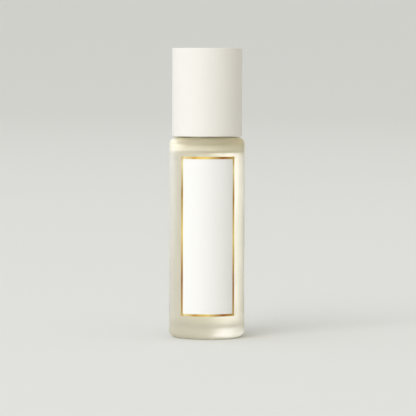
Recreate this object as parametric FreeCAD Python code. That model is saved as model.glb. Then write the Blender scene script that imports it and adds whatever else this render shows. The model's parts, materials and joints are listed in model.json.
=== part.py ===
"""Roll-on perfume bottle: a glass bottle, a ball fitment, a screw cap and a front label with a foil border.

Millimetres, +Z up along the bottle's axis, origin at the centre of the base, label facing -Y.
The cap is stored closed, with its seal just above the ball.
"""
import FreeCAD
import Part
import math
import os

Vector = FreeCAD.Vector
ORIGIN = Vector(0, 0, 0)
UP = Vector(0, 0, 1)

# Glass body
body_diameter = 20.5
body_height = 54.4
body_wall = 2.0
base_thickness = 3.0
heel_rounding = 1.9
shoulder_rounding = 2.0
shoulder_thickness = 1.3
inner_heel_rounding = 2.0
inner_shoulder_rounding = 1.5
foot_width = 1.25
push_up_depth = 0.8
push_up_rounding = 0.3

# Neck, measured under its thread
neck_bore_diameter = 9.6
neck_wall = 1.9
neck_height = 11.0
neck_root_rounding = 0.6
neck_lip_rounding = 0.4
neck_mouth_rounding = 0.3
bore_entry_rounding = 0.8
thread_depth = 0.8

# Liquid
headspace = 2.8
liquid_gap = 0.05
meniscus_height = 0.5
meniscus_width = 0.8
meniscus_rounding = 0.9

# Ball fitment
ball_diameter = 9.9
ball_clearance = 0.06
ball_sink = 0.2
cup_wall = 1.14
lip_rise = 2.3
lip_bevel_width = 0.9
lip_bevel_height = 1.5
lip_bevel_rounding = 0.9
lip_rounding = 0.25
flange_thickness = 1.0
flange_inset = 0.2
flange_ledge = 0.3
flange_rounding = 0.2
cup_floor_thickness = 1.1
feed_hole_diameter = 3.0
feed_groove_count = 3
feed_groove_diameter = 0.9
feed_groove_sweep = 72.0
plug_length = 7.0
plug_wall = 1.1
plug_clearance = 0.2
plug_lead_in = 0.5
plug_lead_length = 1.4
plug_bead_count = 3
plug_bead_half_width = 0.45
plug_bead_rounding = 0.15
plug_seal_gap = 0.02

# Cap
seal_ball_gap = 0.05
seal_thickness = 1.2
seal_play = 0.03
seal_edge_clearance = 0.2
thread_clearance = 0.2
liner_wall = 0.75
liner_top_thickness = 1.0
liner_recess = 0.6
liner_mouth_chamfer = 0.35
liner_lead_in = 0.4
retaining_bead_height = 0.5
retaining_bead_half_width = 0.4
retaining_bead_rounding = 0.2
liner_rib_count = 16
liner_rib_height = 0.2
liner_rib_width = 0.8
liner_fit_gap = 0.025
shell_wall = 0.85
shell_top_thickness = 1.07
shell_edge_rounding = 0.2
shoulder_gap = 0.25

# Label
label_width = 15.6
label_bottom_margin = 6.35
label_top_margin = 5.1
label_glue = 0.02
label_thickness = 0.1
border_width = 0.62
border_glue = 0.005
border_thickness = 0.03

# How far a cutting tool runs past the face it opens
overrun = 1.0

# Radii worked out from the inside outwards
body_radius = body_diameter / 2
cavity_radius = body_radius - body_wall
push_up_radius = body_radius - heel_rounding - foot_width
neck_bore_radius = neck_bore_diameter / 2
neck_radius = neck_bore_radius + neck_wall
ball_radius = ball_diameter / 2
socket_radius = ball_radius + ball_clearance
cup_radius = socket_radius + cup_wall
flange_radius = max(neck_radius - flange_inset, cup_radius + flange_ledge)
plug_radius = neck_bore_radius - plug_clearance
plug_bore_radius = plug_radius - plug_wall
liner_bore_radius = max(neck_radius, flange_radius) + thread_depth + thread_clearance
liner_radius = liner_bore_radius + liner_wall
liner_rib_radius = liner_radius + liner_rib_height
shell_bore_radius = liner_rib_radius + liner_fit_gap
shell_radius = shell_bore_radius + shell_wall
seal_radius = liner_bore_radius - seal_edge_clearance
film_radius = body_radius + label_glue
border_radius = film_radius + label_thickness + border_glue

# Heights worked out from the base upwards
cavity_top = body_height - shoulder_thickness
liquid_level = cavity_top - headspace
land_height = body_height + neck_height
ball_height = land_height - ball_sink + ball_radius
lip_height = ball_height + lip_rise
flange_top = land_height + flange_thickness
plug_bottom = land_height - plug_length
cup_floor_bottom = ball_height - socket_radius - cup_floor_thickness
seal_bottom = ball_height + ball_radius + seal_ball_gap
seal_top = seal_bottom + seal_thickness
liner_ceiling = seal_top + seal_play
liner_top = liner_ceiling + liner_top_thickness
shell_ceiling = liner_top + liner_fit_gap
shell_top = shell_ceiling + shell_top_thickness
shell_bottom = body_height + shoulder_gap
liner_bottom = shell_bottom + liner_recess
label_bottom = label_bottom_margin
label_top = body_height - label_top_margin


def rounded_wire(corners):
    """Closed wire in the XZ plane through (radius, height, rounding) corners, rounded by tangent arcs."""
    points = [Vector(radius, 0, height) for radius, height, _ in corners]
    turns = []
    for i, (_, _, rounding) in enumerate(corners):
        here = points[i]
        back = (points[i - 1] - here).normalize()
        ahead = (points[(i + 1) % len(points)] - here).normalize()
        half_angle = back.getAngle(ahead) / 2
        reach = rounding / math.tan(half_angle)
        inward = (back + ahead).normalize() if rounding else back
        middle = here + inward * (rounding / math.sin(half_angle) - rounding)
        turns.append((here + back * reach, middle, here + ahead * reach, rounding))
    edges = []
    for i, (start, middle, end, rounding) in enumerate(turns):
        next_start = turns[(i + 1) % len(turns)][0]
        if rounding:
            edges.append(Part.Arc(start, middle, end).toShape())
        edges.append(Part.LineSegment(end, next_start).toShape())
    return Part.Wire(edges)


def turned(corners):
    """Solid of revolution about the bottle's axis."""
    return Part.Face(rounded_wire(corners)).revolve(ORIGIN, UP, 360)


def wrapped_sheet(radius, thickness, width, bottom, top):
    """Sheet bent round the body, centred on -Y; width is measured along its inner face."""
    outer_radius = radius + thickness
    section = [(radius, bottom, 0), (outer_radius, bottom, 0), (outer_radius, top, 0), (radius, top, 0)]
    angle = math.degrees(width / radius)
    sheet = Part.Face(rounded_wire(section)).revolve(ORIGIN, UP, angle)
    sheet.rotate(ORIGIN, UP, -90 - angle / 2)
    return sheet


def patterned(shape, count):
    """Copies of a shape, evenly spaced round the bottle's axis."""
    copies = []
    for i in range(count):
        copy = shape.copy()
        copy.rotate(ORIGIN, UP, 360 * i / count)
        copies.append(copy)
    return copies


def glass_bottle():
    """Heavy-walled bottle with a domed push-up, rounded heel and shoulder, and a straight neck."""
    outside = turned([
        (0, 0, 0),
        (body_radius, 0, heel_rounding),
        (body_radius, body_height, shoulder_rounding),
        (neck_radius, body_height, neck_root_rounding),
        (neck_radius, land_height, neck_lip_rounding),
        (neck_bore_radius, land_height, neck_mouth_rounding),
        (neck_bore_radius, cavity_top, bore_entry_rounding),
        (cavity_radius, cavity_top, inner_shoulder_rounding),
        (cavity_radius, base_thickness, inner_heel_rounding),
        (0, base_thickness, 0),
    ])
    dome_radius = (push_up_radius ** 2 + push_up_depth ** 2) / (2 * push_up_depth)
    dome = Part.makeSphere(dome_radius, Vector(0, 0, push_up_depth - dome_radius))
    glass = outside.cut(dome)
    rim = [
        edge for edge in glass.Edges
        if edge.BoundBox.ZMax < push_up_depth / 2 and edge.BoundBox.XMax < push_up_radius + push_up_rounding
    ]
    return glass.makeFillet(push_up_rounding, rim)


def fragrance_fill():
    """Liquid up to its level, with the meniscus that climbs the glass."""
    radius = cavity_radius - liquid_gap
    bottom = base_thickness + liquid_gap
    return turned([
        (0, bottom, 0),
        (radius, bottom, inner_heel_rounding),
        (radius, liquid_level + meniscus_height, 0),
        (radius - meniscus_width, liquid_level, meniscus_rounding),
        (0, liquid_level, 0),
    ])


def feed_groove(ball_centre):
    """Channel in the cup that carries liquid from the feed hole up the side of the ball."""
    foot = ball_centre - UP * socket_radius
    circle = Part.Wire(Part.makeCircle(feed_groove_diameter / 2, foot, Vector(0, 1, 0)))
    return Part.Face(circle).revolve(ball_centre, Vector(-1, 0, 0), feed_groove_sweep)


def roller_housing():
    """Fitment: a beaded plug in the neck, a flange on the land, and a cup whose lip holds the ball."""
    corners = [
        (plug_bore_radius, plug_bottom, 0),
        (plug_radius - plug_lead_in, plug_bottom, 0),
        (plug_radius, plug_bottom + plug_lead_length, 0),
    ]
    bead_pitch = (plug_length - plug_lead_length) / plug_bead_count
    for i in range(plug_bead_count):
        bead_height = plug_bottom + plug_lead_length + (i + 0.5) * bead_pitch
        corners += [
            (plug_radius, bead_height - plug_bead_half_width, 0),
            (neck_bore_radius - plug_seal_gap, bead_height, plug_bead_rounding),
            (plug_radius, bead_height + plug_bead_half_width, 0),
        ]
    corners += [
        (plug_radius, land_height, 0),
        (flange_radius, land_height, flange_rounding),
        (flange_radius, flange_top, flange_rounding),
        (cup_radius, flange_top, flange_rounding),
        (cup_radius, lip_height - lip_bevel_height, lip_bevel_rounding),
        (cup_radius - lip_bevel_width, lip_height, lip_rounding),
        (0, lip_height, 0),
        (0, cup_floor_bottom, 0),
        (plug_bore_radius, cup_floor_bottom, 0),
    ]
    ball_centre = Vector(0, 0, ball_height)
    socket = Part.makeSphere(socket_radius, ball_centre)
    feed_start = Vector(0, 0, cup_floor_bottom - overrun)
    feed_hole = Part.makeCylinder(feed_hole_diameter / 2, ball_height - feed_start.z, feed_start)
    grooves = patterned(feed_groove(ball_centre), feed_groove_count)
    return turned(corners).cut([socket, feed_hole] + grooves)


def roller_ball():
    """Polished ball, free to roll in the cup."""
    return Part.makeSphere(ball_radius, Vector(0, 0, ball_height))


def cap_shell():
    """Straight outer cap with crisp edges."""
    return turned([
        (shell_bore_radius, shell_bottom, shell_edge_rounding),
        (shell_radius, shell_bottom, shell_edge_rounding),
        (shell_radius, shell_top, shell_edge_rounding),
        (0, shell_top, 0),
        (0, shell_ceiling, 0),
        (shell_bore_radius, shell_ceiling, 0),
    ])


def cap_liner():
    """Inner cap: a plain bore for the thread, a bead that keeps the seal in, and ribs that grip the shell."""
    bead_height = seal_bottom - seal_play - retaining_bead_half_width
    body = turned([
        (liner_bore_radius + liner_mouth_chamfer, liner_bottom, 0),
        (liner_radius, liner_bottom, 0),
        (liner_radius, liner_top - liner_lead_in, 0),
        (liner_radius - liner_lead_in, liner_top, 0),
        (0, liner_top, 0),
        (0, liner_ceiling, 0),
        (liner_bore_radius, liner_ceiling, 0),
        (liner_bore_radius, bead_height + retaining_bead_half_width, 0),
        (liner_bore_radius - retaining_bead_height, bead_height, retaining_bead_rounding),
        (liner_bore_radius, bead_height - retaining_bead_half_width, 0),
        (liner_bore_radius, liner_bottom + liner_mouth_chamfer, 0),
    ])
    rib_length = liner_top - liner_lead_in - liner_bottom
    rib_root = liner_radius - liner_wall / 2
    rib = Part.makeBox(
        liner_rib_radius - rib_root + overrun,
        liner_rib_width,
        rib_length,
        Vector(rib_root, -liner_rib_width / 2, liner_bottom),
    )
    reach = Part.makeCylinder(liner_rib_radius, rib_length, Vector(0, 0, liner_bottom))
    return body.fuse(patterned(rib.common(reach), liner_rib_count)).removeSplitter()


def cap_seal_disc():
    """Sealing disc under the liner's ceiling, held by the bead and pressed on the ball by the closed cap."""
    return turned([
        (0, seal_bottom, 0),
        (seal_radius, seal_bottom, 0),
        (seal_radius, seal_top, 0),
        (0, seal_top, 0),
    ])


def label_film():
    """White film stuck on the front of the glass."""
    return wrapped_sheet(film_radius, label_thickness, label_width, label_bottom, label_top)


def label_border():
    """Foil line along all four edges of the film."""
    outline_width = label_width * border_radius / film_radius
    frame = wrapped_sheet(border_radius, border_thickness, outline_width, label_bottom, label_top)
    window = wrapped_sheet(
        border_radius - overrun,
        border_thickness + 2 * overrun,
        (outline_width - 2 * border_width) * (border_radius - overrun) / border_radius,
        label_bottom + border_width,
        label_top - border_width,
    )
    return frame.cut(window)


def solids_of(shape):
    """The shape as plain solids with outward faces."""
    solids = [solid.copy() for solid in shape.Solids]
    for solid in solids:
        if solid.Volume < 0:
            solid.reverse()
    return solids[0] if len(solids) == 1 else Part.makeCompound(solids)


PIECES = [
    glass_bottle,
    fragrance_fill,
    roller_housing,
    roller_ball,
    cap_shell,
    cap_liner,
    cap_seal_disc,
    label_film,
    label_border,
]

os.makedirs("parts", exist_ok=True)
for piece in PIECES:
    shape = solids_of(piece())
    shape.exportStep(f"parts/{piece.__name__}.step")
    print(f"{piece.__name__}: {len(shape.Solids)} solid, {shape.Volume:.2f} mm3, valid {shape.isValid()}")
print(f"height {shell_top:.3f}, cap diameter {2 * shell_radius:.3f}, ball centre {ball_height:.3f}")
print(f"cap bottom {shell_bottom:.3f}, liquid level {liquid_level:.3f}, label top {label_top:.3f}")
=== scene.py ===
"""Looks of the roll-on bottle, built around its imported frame.

Metres, +Z up along the bottle's axis, origin at the centre of the base, label facing -Y.
"""
import bpy
import json
import math
from mathutils import Euler, Matrix, Vector


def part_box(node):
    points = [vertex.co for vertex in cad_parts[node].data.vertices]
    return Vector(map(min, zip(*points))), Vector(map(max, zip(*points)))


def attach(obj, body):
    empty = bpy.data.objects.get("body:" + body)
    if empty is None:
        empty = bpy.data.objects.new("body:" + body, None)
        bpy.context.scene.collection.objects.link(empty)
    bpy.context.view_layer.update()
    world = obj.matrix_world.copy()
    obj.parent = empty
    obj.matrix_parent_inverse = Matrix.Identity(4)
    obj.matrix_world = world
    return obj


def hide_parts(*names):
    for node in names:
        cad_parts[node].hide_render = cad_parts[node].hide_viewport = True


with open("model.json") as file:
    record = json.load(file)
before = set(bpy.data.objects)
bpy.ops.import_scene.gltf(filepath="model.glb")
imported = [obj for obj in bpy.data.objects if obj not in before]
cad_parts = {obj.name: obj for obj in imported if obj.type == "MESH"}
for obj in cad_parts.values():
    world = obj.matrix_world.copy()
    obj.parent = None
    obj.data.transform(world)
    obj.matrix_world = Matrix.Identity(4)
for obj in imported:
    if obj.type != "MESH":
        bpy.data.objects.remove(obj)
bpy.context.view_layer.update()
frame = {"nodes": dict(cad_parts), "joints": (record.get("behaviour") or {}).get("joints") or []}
nodes = frame["nodes"]
joints = {joint["name"]: joint for joint in frame["joints"]}

MM = 0.001
FULL_TURN = 2 * math.pi

# Bottle, from the frame's boxes and the sizes that they don't give
liquid_gap = 0.05 * MM
shoulder_gap = 0.25 * MM
flange_inset = 0.2 * MM
heel_rounding = 1.9 * MM
shoulder_rounding = 2.0 * MM
shoulder_thickness = 1.3 * MM
inner_heel_rounding = 2.0 * MM
inner_shoulder_rounding = 1.5 * MM
push_up_depth = 0.8 * MM
push_up_rounding = 0.3 * MM
foot_width = 1.25 * MM
neck_bore_radius = 4.8 * MM
neck_root_rounding = 0.6 * MM
neck_lip_rounding = 0.4 * MM
neck_mouth_rounding = 0.3 * MM
bore_entry_rounding = 0.8 * MM
body_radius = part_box("glass_bottle")[1].x
land_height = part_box("glass_bottle")[1].z
cavity_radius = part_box("fragrance_fill")[1].x + liquid_gap
base_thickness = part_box("fragrance_fill")[0].z - liquid_gap
meniscus_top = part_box("fragrance_fill")[1].z
body_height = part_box("cap_shell")[0].z - shoulder_gap
neck_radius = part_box("roller_housing")[1].x + flange_inset
push_up_radius = body_radius - heel_rounding - foot_width

# Liquid: its skin lies a little inside the glass, so that light goes straight from one into the other
liquid_overlap = 0.03 * MM
meniscus_height = 0.5 * MM
meniscus_width = 0.8 * MM
meniscus_rounding = 0.9 * MM

# Threads: the cap rises by the lead in each turn, and its ridge lies under the bottle's ridge
thread_lead = joints["cap_lift"]["range_m"][1] / (joints["cap_turn"]["range_deg"][1] / 360)
neck_thread_depth = 0.8 * MM
neck_thread_width = 1.6 * MM
neck_thread_rise = 3.2 * MM
neck_thread_start = body_height + neck_thread_rise
neck_thread_turns = 1.5
neck_skin_tolerance = 0.01 * MM
liner_clearance = 1.0 * MM
liner_bore_radius = neck_radius + liner_clearance
liner_thread_depth = 0.7 * MM
liner_thread_width = 1.4 * MM
liner_thread_drop = 1.35 * MM
liner_thread_turns = 1.25
thread_taper_turns = 0.08
thread_end_height = 0.02
thread_sink = 0.15 * MM
thread_flank_power = 2.5
thread_crest_power = 0.8

# Mesh fineness
round_segments = 192
rounding_steps = 8
dome_steps = 8
thread_step = 0.12 * MM
ridge_points = 12
ridge_steps_per_turn = 120
sharp_angle = math.radians(40)

# Heights over which the glass turns dense at the shoulder, plain at the neck and plain above the heel
shoulder_fade = (body_height - 5 * MM, body_height - 1.5 * MM)
neck_fade = (body_height - 0.2 * MM, body_height + 0.8 * MM)
heel_fade = (1.5 * MM, base_thickness + 3 * MM)

# Frosted glass, with transmission and translucency as (plain, dense) and roughness as (least, most)
glass_ior = 1.5
wall_tint = (0.96, 0.918, 0.76)
shoulder_tint = (0.96, 0.885, 0.64)
frost_transmission = (0.70, 0.54)
frost_translucency = (0.1, 0.28)
frost_roughness = (0.44, 0.50)
frost_cloud_size = 2.5 * MM
frost_grain = 0.25 * MM
frost_depth = 0.004 * MM
inside_roughness = 0.3

# Perfume
liquid_ior = 1.36
liquid_colour = (1.0, 0.94, 0.68)
liquid_density = 30.0

# Plastics in general
plastic_specular = 0.35
plastic_cloud_size = 6 * MM
plastic_roughness_spread = 0.04
plastic_scatter_distance = 0.5 * MM

# Steel of the ball
steel_colour = (0.72, 0.72, 0.71)
steel_roughness = (0.05, 0.11)
steel_grain = 0.3 * MM
steel_detail = 4

# Label's film
film_dark = (0.92, 0.92, 0.915)
film_light = (0.95, 0.95, 0.945)
film_through_colour = (0.98, 0.98, 0.97)
film_translucency = 0.08
film_roughness = 0.5
film_grain = 0.4 * MM
film_detail = 4
film_depth = 0.003 * MM

# Gold foil along each side of the label, from its lower or right-hand end
gold_stops = [
    (0.0, (0.65, 0.43, 0.11)),
    (0.22, (0.41, 0.17, 0.04)),
    (0.5, (0.97, 0.76, 0.25)),
    (0.76, (0.50, 0.29, 0.05)),
    (0.94, (0.97, 0.83, 0.45)),
    (1.0, (0.65, 0.43, 0.11)),
]
foil_roughness = (0.24, 0.36)
foil_grain = 0.5 * MM
foil_detail = 3

# Camera: the photograph's frame, with the bottle's axis a little left of its middle
image_width = 416
focal_pixels = 2550
axis_pixel = 206.88
camera_distance = 0.6931
camera_height = 0.0697
camera_pitch = 0.0499
camera_roll = 0.0024
camera_swing = math.radians(1.8)
sensor_width = 36.0

# Studio floor, which sweeps up gently all round
floor_flat = 4.0
floor_radius = 8.0
floor_rise = 0.6
floor_thickness = 0.02
floor_steps = 12
floor_colour = (0.80, 0.82, 0.81)
floor_roughness = 0.9
floor_specular = 0.2

# Soft light from all round, brightest on the left, and where one side's colour runs into the next
left_colour = (0.92, 0.92, 0.92)
back_colour = (0.66, 0.65, 0.60)
front_colour = (0.58, 0.53, 0.43)
right_colour = (0.46, 0.39, 0.27)
zenith_colour = (0.78, 0.78, 0.77)
front_to_back = (-0.3, 0.3)
middle_to_right = (0.1, 0.7)
middle_to_left = (-0.1, -0.7)
side_to_zenith = (0.2, 1.0)
pale_colour = (1.0, 0.96, 0.84)
background_paleness = 0.6
white_light = (1, 1, 1)
glass_light_colour = (0.75, 0.79, 1.0)
light_bounces = 24


def rounded_profile(corners):
    """Points through (radius, height, rounding) corners, with each rounding as a tangent arc."""
    points = [Vector((radius, height)) for radius, height, _ in corners]
    outline = []
    for i, (_, _, rounding) in enumerate(corners):
        here = points[i]
        if not rounding:
            outline.append(here)
            continue
        back = (points[i - 1] - here).normalized()
        ahead = (points[i + 1] - here).normalized()
        half_angle = back.angle(ahead) / 2
        centre = here + (back + ahead).normalized() * (rounding / math.sin(half_angle))
        start = here + back * (rounding / math.tan(half_angle)) - centre
        end = here + ahead * (rounding / math.tan(half_angle)) - centre
        for step in range(rounding_steps + 1):
            outline.append(centre + start.slerp(end, step / rounding_steps).normalized() * rounding)
    return outline


def stepped(outline, low, high, step):
    """The outline with more points on its straight runs between two heights."""
    finer = outline[:1]
    for start, end in zip(outline, outline[1:]):
        inside = low <= min(start.y, end.y) and max(start.y, end.y) <= high
        count = max(1, round((end - start).length / step)) if inside else 1
        finer += [start.lerp(end, i / count) for i in range(1, count + 1)]
    return finer


def new_piece(name, vertices, faces):
    """Smooth mesh object, with its sharp edges left sharp."""
    mesh = bpy.data.meshes.new(name)
    mesh.from_pydata(vertices, [], faces)
    mesh.validate()
    mesh.shade_smooth()
    mesh.set_sharp_from_angle(angle=sharp_angle)
    piece = bpy.data.objects.new(name, mesh)
    bpy.context.scene.collection.objects.link(piece)
    return piece


def lathe(name, outline, relief=None):
    """Closed mesh turned about Z from an outline that starts and ends on the axis.

    relief(point, angle) gives how far a point of the outline stands out at that angle.
    """
    vertices = [(0, 0, outline[0].y)]
    for point in outline[1:-1]:
        for i in range(round_segments):
            angle = FULL_TURN * i / round_segments
            radius = point.x + (relief(point, angle) if relief else 0)
            vertices.append((radius * math.cos(angle), radius * math.sin(angle), point.y))
    vertices.append((0, 0, outline[-1].y))
    last = len(vertices) - 1
    rings = len(outline) - 2
    faces = []
    for i in range(round_segments):
        after = (i + 1) % round_segments
        faces.append((0, 1 + after, 1 + i))
        for ring in range(rings - 1):
            low = 1 + ring * round_segments
            high = low + round_segments
            faces.append((low + i, low + after, high + after, high + i))
        top = 1 + (rings - 1) * round_segments
        faces.append((top + i, top + after, last))
    return new_piece(name, vertices, faces)


def eased(value):
    """Smooth step from 0 to 1."""
    value = min(max(value, 0), 1)
    return value * value * (3 - 2 * value)


def ridge_taper(turn, turns):
    """How much of its height a thread ridge has at a turn, with both ends run out."""
    share = eased(turn / thread_taper_turns) * eased((turns - turn) / thread_taper_turns)
    return max(share, thread_end_height)


def ridge_section(share):
    """Height of a rounded ridge across its width, where share runs from -1 to 1."""
    return (1 - abs(share) ** thread_flank_power) ** thread_crest_power if abs(share) < 1 else 0


def neck_relief(point, angle):
    """How far the neck's thread stands out of the neck."""
    if abs(point.x - neck_radius) > neck_skin_tolerance:
        return 0
    height = 0
    for lap in range(math.ceil(neck_thread_turns) + 1):
        turn = angle / FULL_TURN + lap
        off_centre = point.y - neck_thread_start - thread_lead * turn
        section = ridge_section(off_centre / (neck_thread_width / 2))
        if turn <= neck_thread_turns:
            height = max(height, neck_thread_depth * section * ridge_taper(turn, neck_thread_turns))
    return height


def helical_ridge(name, radius, depth, width, start, turns):
    """Closed thread ridge on the inside of a bore, a little sunk into its wall."""
    vertices = []
    faces = []
    steps = round(turns * ridge_steps_per_turn)
    count = ridge_points + 1
    for step in range(steps + 1):
        turn = turns * step / steps
        angle = FULL_TURN * turn
        taper = ridge_taper(turn, turns)
        for j in range(count):
            share = 2 * j / ridge_points - 1
            inward = (depth + thread_sink) * ridge_section(share) * taper - thread_sink
            height = start + thread_lead * turn + share * width / 2
            reach = radius - inward
            vertices.append((reach * math.cos(angle), reach * math.sin(angle), height))
    for step in range(steps):
        low = step * count
        for j in range(count):
            after = (j + 1) % count
            faces.append((low + j, low + after, low + count + after, low + count + j))
    end = steps * count
    faces.append(tuple(range(count - 1, -1, -1)))
    faces.append(tuple(range(end, end + count)))
    return new_piece(name, vertices, faces)


def bottle_glass():
    """Bottle with its threaded neck; the faces from the mouth inwards have the second material."""
    dome = []
    for step in range(dome_steps):
        share = step / dome_steps
        dome.append((push_up_radius * share, push_up_depth * (1 - share ** 2), 0))
    cavity_top = body_height - shoulder_thickness
    outside = rounded_profile(dome + [
        (push_up_radius, 0, push_up_rounding),
        (body_radius, 0, heel_rounding),
        (body_radius, body_height, shoulder_rounding),
        (neck_radius, body_height, neck_root_rounding),
        (neck_radius, land_height, neck_lip_rounding),
        (neck_bore_radius, land_height, 0),
    ])
    inside = rounded_profile([
        (neck_radius, land_height, 0),
        (neck_bore_radius, land_height, neck_mouth_rounding),
        (neck_bore_radius, cavity_top, bore_entry_rounding),
        (cavity_radius, cavity_top, inner_shoulder_rounding),
        (cavity_radius, base_thickness, inner_heel_rounding),
        (0, base_thickness, 0),
    ])
    outside = stepped(outside[:-1], body_height + neck_root_rounding / 2, land_height, thread_step)
    piece = lathe("bottle_glass", outside + inside[1:], neck_relief)
    first_inner = len(outside)
    spans = len(outside) + len(inside) - 2
    for index, face in enumerate(piece.data.polygons):
        face.material_index = 1 if index % spans >= first_inner else 0
    return piece


def bottle_liquid():
    """Liquid with the meniscus that climbs the glass."""
    radius = cavity_radius + liquid_overlap
    bottom = base_thickness - liquid_overlap
    level = meniscus_top - meniscus_height
    return lathe("bottle_liquid", rounded_profile([
        (0, bottom, 0),
        (radius, bottom, inner_heel_rounding + liquid_overlap),
        (radius, meniscus_top, 0),
        (radius - meniscus_width, level, meniscus_rounding),
        (0, level, 0),
    ]))


def new_material(name):
    """Node material and its Principled shader."""
    made = bpy.data.materials.new(name)
    made.use_nodes = True
    return made, made.node_tree.nodes["Principled BSDF"]


def add_node(tree, kind, inputs=None, **settings):
    """New node with its settings, and its inputs given as values or as sockets to link."""
    made = tree.nodes.new(kind)
    for key, value in settings.items():
        setattr(made, key, value)
    for key, value in (inputs or {}).items():
        if isinstance(value, bpy.types.NodeSocket):
            tree.links.new(value, made.inputs[key])
        else:
            made.inputs[key].default_value = value
    return made


def object_coordinates(tree):
    """Place on the piece, in metres from the frame's origin."""
    return add_node(tree, "ShaderNodeTexCoord").outputs["Object"]


def noise(tree, feature, detail=2.0):
    """Noise from 0 to 1 whose lumps are about one feature wide."""
    inputs = {"Vector": object_coordinates(tree), "Scale": 1 / feature, "Detail": detail}
    return add_node(tree, "ShaderNodeTexNoise", inputs).outputs["Fac"]


def ranged(tree, value, low, high, from_low=0.0, from_high=1.0):
    """A value carried over linearly from one range to another, and held at its ends."""
    inputs = {"Value": value, "From Min": from_low, "From Max": from_high, "To Min": low, "To Max": high}
    return add_node(tree, "ShaderNodeMapRange", inputs).outputs["Result"]


def combined(tree, operation, first, second):
    """Two values put together by one of the Math node's operations."""
    return add_node(tree, "ShaderNodeMath", {0: first, 1: second}, operation=operation).outputs["Value"]


def blended(tree, share, first, second):
    """Colour between two colours, each given as a value or as a socket."""
    made = add_node(tree, "ShaderNodeMix", data_type="RGBA")
    tree.links.new(share, made.inputs["Factor"])
    for key, colour in (("A", first), ("B", second)):
        socket = [s for s in made.inputs if s.name == key and s.type == "RGBA"][0]
        if isinstance(colour, bpy.types.NodeSocket):
            tree.links.new(colour, socket)
        else:
            socket.default_value = (*colour, 1)
    return [s for s in made.outputs if s.type == "RGBA"][0]


def ramp(tree, share, stops):
    """Colour along a row of (place, colour) stops."""
    made = add_node(tree, "ShaderNodeValToRGB", {"Fac": share})
    elements = made.color_ramp.elements
    elements.remove(elements[1])
    for number, (place, colour) in enumerate(stops):
        stop = elements[0] if number == 0 else elements.new(place)
        stop.position = place
        stop.color = (*colour, 1)
    return made.outputs["Color"]


def bump(tree, height, depth):
    """Normal for a relief of a given depth in metres."""
    inputs = {"Height": height, "Distance": depth, "Strength": 1.0}
    return add_node(tree, "ShaderNodeBump", inputs).outputs["Normal"]


def let_light_through(made, shader, share, colour):
    """Give a share of a material's surface to light that shines through it from behind."""
    tree = made.node_tree
    through = add_node(tree, "ShaderNodeBsdfTranslucent", {"Color": colour})
    inputs = {0: share, 1: shader.outputs["BSDF"], 2: through.outputs["BSDF"]}
    mixed = add_node(tree, "ShaderNodeMixShader", inputs)
    tree.links.new(mixed.outputs["Shader"], tree.nodes["Material Output"].inputs["Surface"])


def frosted_glass():
    """Acid-etched outside of the glass, denser at the shoulder and heel and warmer at the shoulder."""
    made, shader = new_material("frosted_glass")
    tree = made.node_tree
    height = add_node(tree, "ShaderNodeSeparateXYZ", {"Vector": object_coordinates(tree)}).outputs["Z"]
    below_neck = ranged(tree, height, 1, 0, *neck_fade)
    above_body = ranged(tree, height, 0, 1, *shoulder_fade)
    shoulder = combined(tree, "MINIMUM", below_neck, above_body)
    heel = ranged(tree, height, 1, 0, *heel_fade)
    dense = combined(tree, "MAXIMUM", shoulder, heel)
    tint = blended(tree, shoulder, wall_tint, shoulder_tint)
    tree.links.new(tint, shader.inputs["Base Color"])
    tree.links.new(ranged(tree, dense, *frost_transmission), shader.inputs["Transmission Weight"])
    shader.inputs["IOR"].default_value = glass_ior
    tree.links.new(ranged(tree, noise(tree, frost_cloud_size), *frost_roughness), shader.inputs["Roughness"])
    tree.links.new(bump(tree, noise(tree, frost_grain), frost_depth), shader.inputs["Normal"])
    let_light_through(made, shader, ranged(tree, dense, *frost_translucency), tint)
    return made


def see_through(name, ior, roughness):
    """Colourless material that lets all light through."""
    made, shader = new_material(name)
    shader.inputs["Base Color"].default_value = (1, 1, 1, 1)
    shader.inputs["IOR"].default_value = ior
    shader.inputs["Roughness"].default_value = roughness
    shader.inputs["Transmission Weight"].default_value = 1
    return made


def clear_glass():
    """Smooth inside of the glass."""
    return see_through("clear_glass", glass_ior, inside_roughness)


def fragrance():
    """Clear pale-yellow liquid."""
    made = see_through("fragrance_liquid", liquid_ior, 0.0)
    tree = made.node_tree
    inputs = {"Color": (*liquid_colour, 1), "Density": liquid_density}
    tint = add_node(tree, "ShaderNodeVolumeAbsorption", inputs)
    tree.links.new(tint.outputs["Volume"], tree.nodes["Material Output"].inputs["Volume"])
    return made


def satin_plastic(name, light, dark, roughness, grain, depth, subsurface=0.0):
    """Moulded plastic with a fine texture and a faint cloudiness."""
    made, shader = new_material(name)
    tree = made.node_tree
    cloud = noise(tree, plastic_cloud_size)
    dull = roughness + plastic_roughness_spread
    smooth = roughness - plastic_roughness_spread
    tree.links.new(blended(tree, cloud, dark, light), shader.inputs["Base Color"])
    tree.links.new(ranged(tree, cloud, dull, smooth), shader.inputs["Roughness"])
    tree.links.new(bump(tree, noise(tree, grain), depth), shader.inputs["Normal"])
    shader.inputs["Specular IOR Level"].default_value = plastic_specular
    shader.inputs["Subsurface Weight"].default_value = subsurface
    shader.inputs["Subsurface Radius"].default_value = (1, 1, 1)
    shader.inputs["Subsurface Scale"].default_value = plastic_scatter_distance
    return made


def polished_steel():
    """Ball-bearing steel with hair-fine polishing marks."""
    made, shader = new_material("ball_steel")
    tree = made.node_tree
    shader.inputs["Base Color"].default_value = (*steel_colour, 1)
    shader.inputs["Metallic"].default_value = 1
    marks = noise(tree, steel_grain, steel_detail)
    tree.links.new(ranged(tree, marks, *steel_roughness), shader.inputs["Roughness"])
    return made


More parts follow.
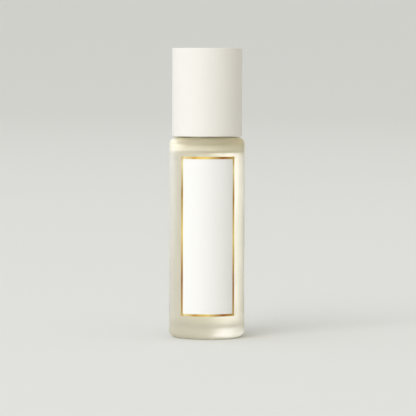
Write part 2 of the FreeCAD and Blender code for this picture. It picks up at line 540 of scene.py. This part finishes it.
def label_paper():
    """White film that lets some light through from the glass behind it."""
    made, shader = new_material("label_white")
    tree = made.node_tree
    cloud = noise(tree, film_grain, film_detail)
    tree.links.new(blended(tree, cloud, film_dark, film_light), shader.inputs["Base Color"])
    shader.inputs["Roughness"].default_value = film_roughness
    tree.links.new(bump(tree, cloud, film_depth), shader.inputs["Normal"])
    let_light_through(made, shader, film_translucency, (*film_through_colour, 1))
    return made


def gold_foil():
    """Foil printed with a gold that runs from pale to brown and back along each side of the label."""
    made, shader = new_material("gold_foil")
    tree = made.node_tree
    low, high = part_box("label_border")
    place = add_node(tree, "ShaderNodeSeparateXYZ", {"Vector": object_coordinates(tree)}).outputs
    across = ranged(tree, place["X"], 0, 1, low.x, high.x)
    up = ranged(tree, place["Z"], 0, 1, low.z, high.z)
    along = combined(tree, "SUBTRACT", up, across)
    share = add_node(tree, "ShaderNodeMath", {0: along}, operation="FRACT").outputs["Value"]
    tree.links.new(ramp(tree, share, gold_stops), shader.inputs["Base Color"])
    shader.inputs["Metallic"].default_value = 1
    marks = noise(tree, foil_grain, foil_detail)
    tree.links.new(ranged(tree, marks, *foil_roughness), shader.inputs["Roughness"])
    return made


def dress(name, material):
    """Give a frame node's object its material."""
    piece = nodes[name]
    piece.data.materials.clear()
    piece.data.materials.append(material)


def studio_floor():
    """Plain pale floor."""
    outline = [Vector((0, -floor_thickness)), Vector((floor_radius, -floor_thickness))]
    for step in range(floor_steps, -1, -1):
        share = step / floor_steps
        outline.append(Vector((floor_flat + (floor_radius - floor_flat) * share, floor_rise * share ** 2)))
    floor = lathe("floor", outline + [Vector((0, 0))])
    made, shader = new_material("floor_paint")
    shader.inputs["Base Color"].default_value = (*floor_colour, 1)
    shader.inputs["Roughness"].default_value = floor_roughness
    shader.inputs["Specular IOR Level"].default_value = floor_specular
    floor.data.materials.append(made)


def away_from_bottle(azimuth, elevation):
    """Direction in degrees: azimuth 0 is in front of the bottle and 90 to its right."""
    around = math.radians(azimuth)
    above = math.radians(elevation)
    return Vector((
        math.sin(around) * math.cos(above),
        -math.cos(around) * math.cos(above),
        math.sin(above),
    ))


def studio_world():
    """Even surroundings, bright on the left and warm in front and on the right, paler where seen."""
    world = bpy.data.worlds.new("studio")
    bpy.context.scene.world = world
    world.use_nodes = True
    tree = world.node_tree
    direction = add_node(tree, "ShaderNodeTexCoord").outputs["Generated"]
    parts = add_node(tree, "ShaderNodeSeparateXYZ", {"Vector": direction}).outputs
    middle = blended(tree, ranged(tree, parts["Y"], 0, 1, *front_to_back), front_colour, back_colour)
    right_half = blended(tree, ranged(tree, parts["X"], 0, 1, *middle_to_right), middle, right_colour)
    round_about = blended(tree, ranged(tree, parts["X"], 0, 1, *middle_to_left), right_half, left_colour)
    sky = blended(tree, ranged(tree, parts["Z"], 0, 1, *side_to_zenith), round_about, zenith_colour)
    rays = add_node(tree, "ShaderNodeLightPath").outputs
    shown = combined(tree, "MAXIMUM", rays["Is Camera Ray"], rays["Is Glossy Ray"])
    shown = combined(tree, "MAXIMUM", shown, rays["Is Transmission Ray"])
    pale_sky = blended(tree, ranged(tree, shown, 0, background_paleness), sky, pale_colour)
    tree.links.new(pale_sky, tree.nodes["Background"].inputs["Color"])


def softbox(name, azimuth, elevation, distance, width, height, power, colour, only_glass=False):
    """Rectangular lamp facing the bottle, which may light only what is seen through glass."""
    lamp = bpy.data.lights.new(name, "AREA")
    lamp.shape = "RECTANGLE"
    lamp.size = width
    lamp.size_y = height
    lamp.energy = power
    lamp.color = colour
    lamp_object = bpy.data.objects.new(name, lamp)
    away = away_from_bottle(azimuth, elevation)
    lamp_object.location = Vector((0, 0, body_height)) + away * distance
    lamp_object.rotation_mode = "QUATERNION"
    lamp_object.rotation_quaternion = (-away).to_track_quat("-Z", "Y")
    lamp_object.visible_camera = False
    lamp_object.visible_diffuse = not only_glass
    lamp_object.visible_glossy = not only_glass
    bpy.context.scene.collection.objects.link(lamp_object)


def photo_camera():
    """Camera at the photograph's place and angle."""
    data = bpy.data.cameras.new("photo_camera")
    data.sensor_width = sensor_width
    data.lens = focal_pixels / image_width * sensor_width
    camera = bpy.data.objects.new("photo_camera", data)
    back = Vector((-math.sin(camera_swing), -math.cos(camera_swing), 0))
    right = Vector((math.cos(camera_swing), -math.sin(camera_swing), 0))
    off_axis = (image_width / 2 - axis_pixel) / focal_pixels * camera_distance
    camera.location = back * camera_distance + right * off_axis + Vector((0, 0, camera_height))
    level = Euler((math.pi / 2 - camera_pitch, 0, -camera_swing)).to_matrix()
    camera.rotation_euler = (level @ Matrix.Rotation(camera_roll, 3, "Z")).to_euler()
    bpy.context.scene.collection.objects.link(camera)
    bpy.context.scene.camera = camera


# Pieces that replace or add to the frame's nodes
glass = bottle_glass()
glass.data.materials.append(frosted_glass())
glass.data.materials.append(clear_glass())
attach(glass, "bottle")
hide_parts("glass_bottle")

liquid = bottle_liquid()
liquid.data.materials.append(fragrance())
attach(liquid, "bottle")
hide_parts("fragrance_fill")

liner_plastic = satin_plastic(
    "liner_plastic",
    light=(0.80, 0.79, 0.765),
    dark=(0.77, 0.76, 0.735),
    roughness=0.42,
    grain=0.3 * MM,
    depth=0.004 * MM,
)
liner_thread = helical_ridge(
    "liner_thread",
    liner_bore_radius,
    liner_thread_depth,
    liner_thread_width,
    neck_thread_start - liner_thread_drop,
    liner_thread_turns,
)
liner_thread.data.materials.append(liner_plastic)
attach(liner_thread, "cap")

# Materials of the frame's own nodes
cap_plastic = satin_plastic(
    "cap_white",
    light=(0.83, 0.815, 0.78),
    dark=(0.81, 0.795, 0.76),
    roughness=0.45,
    grain=0.12 * MM,
    depth=0.002 * MM,
    subsurface=0.1,
)
seal_plastic = satin_plastic(
    "seal_plastic",
    light=(0.80, 0.80, 0.78),
    dark=(0.77, 0.77, 0.75),
    roughness=0.6,
    grain=0.4 * MM,
    depth=0.01 * MM,
)
fitment_plastic = satin_plastic(
    "fitment_plastic",
    light=(0.79, 0.79, 0.765),
    dark=(0.76, 0.76, 0.735),
    roughness=0.35,
    grain=0.3 * MM,
    depth=0.004 * MM,
    subsurface=0.3,
)
dress("cap_shell", cap_plastic)
dress("cap_liner", liner_plastic)
dress("cap_seal_disc", seal_plastic)
dress("roller_housing", fitment_plastic)
dress("roller_ball", polished_steel())
dress("label_film", label_paper())
dress("label_border", gold_foil())

# Floor, light and camera
studio_floor()
studio_world()
softbox(
    "key",
    azimuth=-36,
    elevation=28,
    distance=6.0,
    width=4.3,
    height=5.3,
    power=178,
    colour=white_light,
)
softbox(
    "glass_light",
    azimuth=-142,
    elevation=16,
    distance=2.5,
    width=3.0,
    height=1.5,
    power=138,
    colour=glass_light_colour,
    only_glass=True,
)
photo_camera()
bpy.context.scene.view_settings.view_transform = "Standard"
for kind in ("max_bounces", "glossy_bounces", "transmission_bounces"):
    setattr(bpy.context.scene.cycles, kind, light_bounces)
